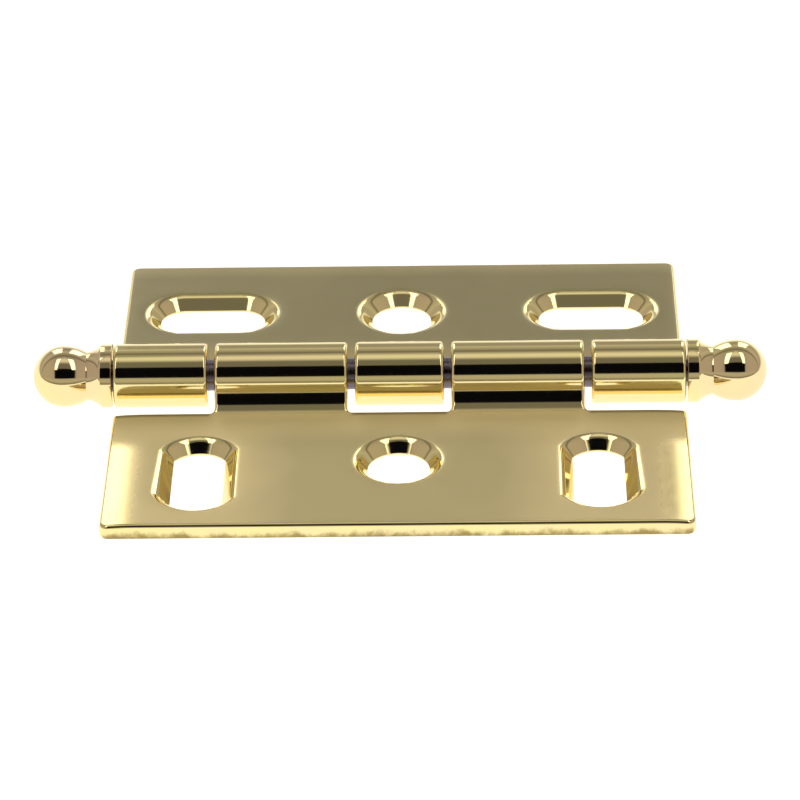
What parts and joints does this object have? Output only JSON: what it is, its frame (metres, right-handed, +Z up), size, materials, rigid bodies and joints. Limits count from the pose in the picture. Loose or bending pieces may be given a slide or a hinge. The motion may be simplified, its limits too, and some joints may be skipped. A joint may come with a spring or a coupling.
{
  "type": "butt hinge",
  "caption": "Polished brass ball-tip butt hinge for a cabinet door: interleaved knuckles turn on a steel pin, and each leaf has a countersunk hole and adjustment slots.",
  "frame": {"origin": "on the plane of the leaves' undersides, straight below the middle of the pin", "axes": "+X along the pin, +Y from the pin to the frame leaf's outer edge, +Z up out of the leaves' faces"},
  "size_m": [0.0654, 0.0444, 0.0057],
  "materials": {
    "leaf_brass": "polished",
    "finial_brass": "polished",
    "pin_steel": "bright drawn"
  },
  "bodies": {
    "frame_side": {"frame_leaf": "leaf_brass", "hinge_pin": "pin_steel", "left_ball_finial": "finial_brass", "right_ball_finial": "finial_brass"},
    "door_side": {"door_leaf": "leaf_brass"}
  },
  "joints": [
    {"name": "hinge_swing", "type": "hinge", "parent": "frame_side", "child": "door_side", "pos_m": [0, 0, 0.00285], "axis": [-1, 0, 0], "range_deg": [-90, 180]}
  ]
}
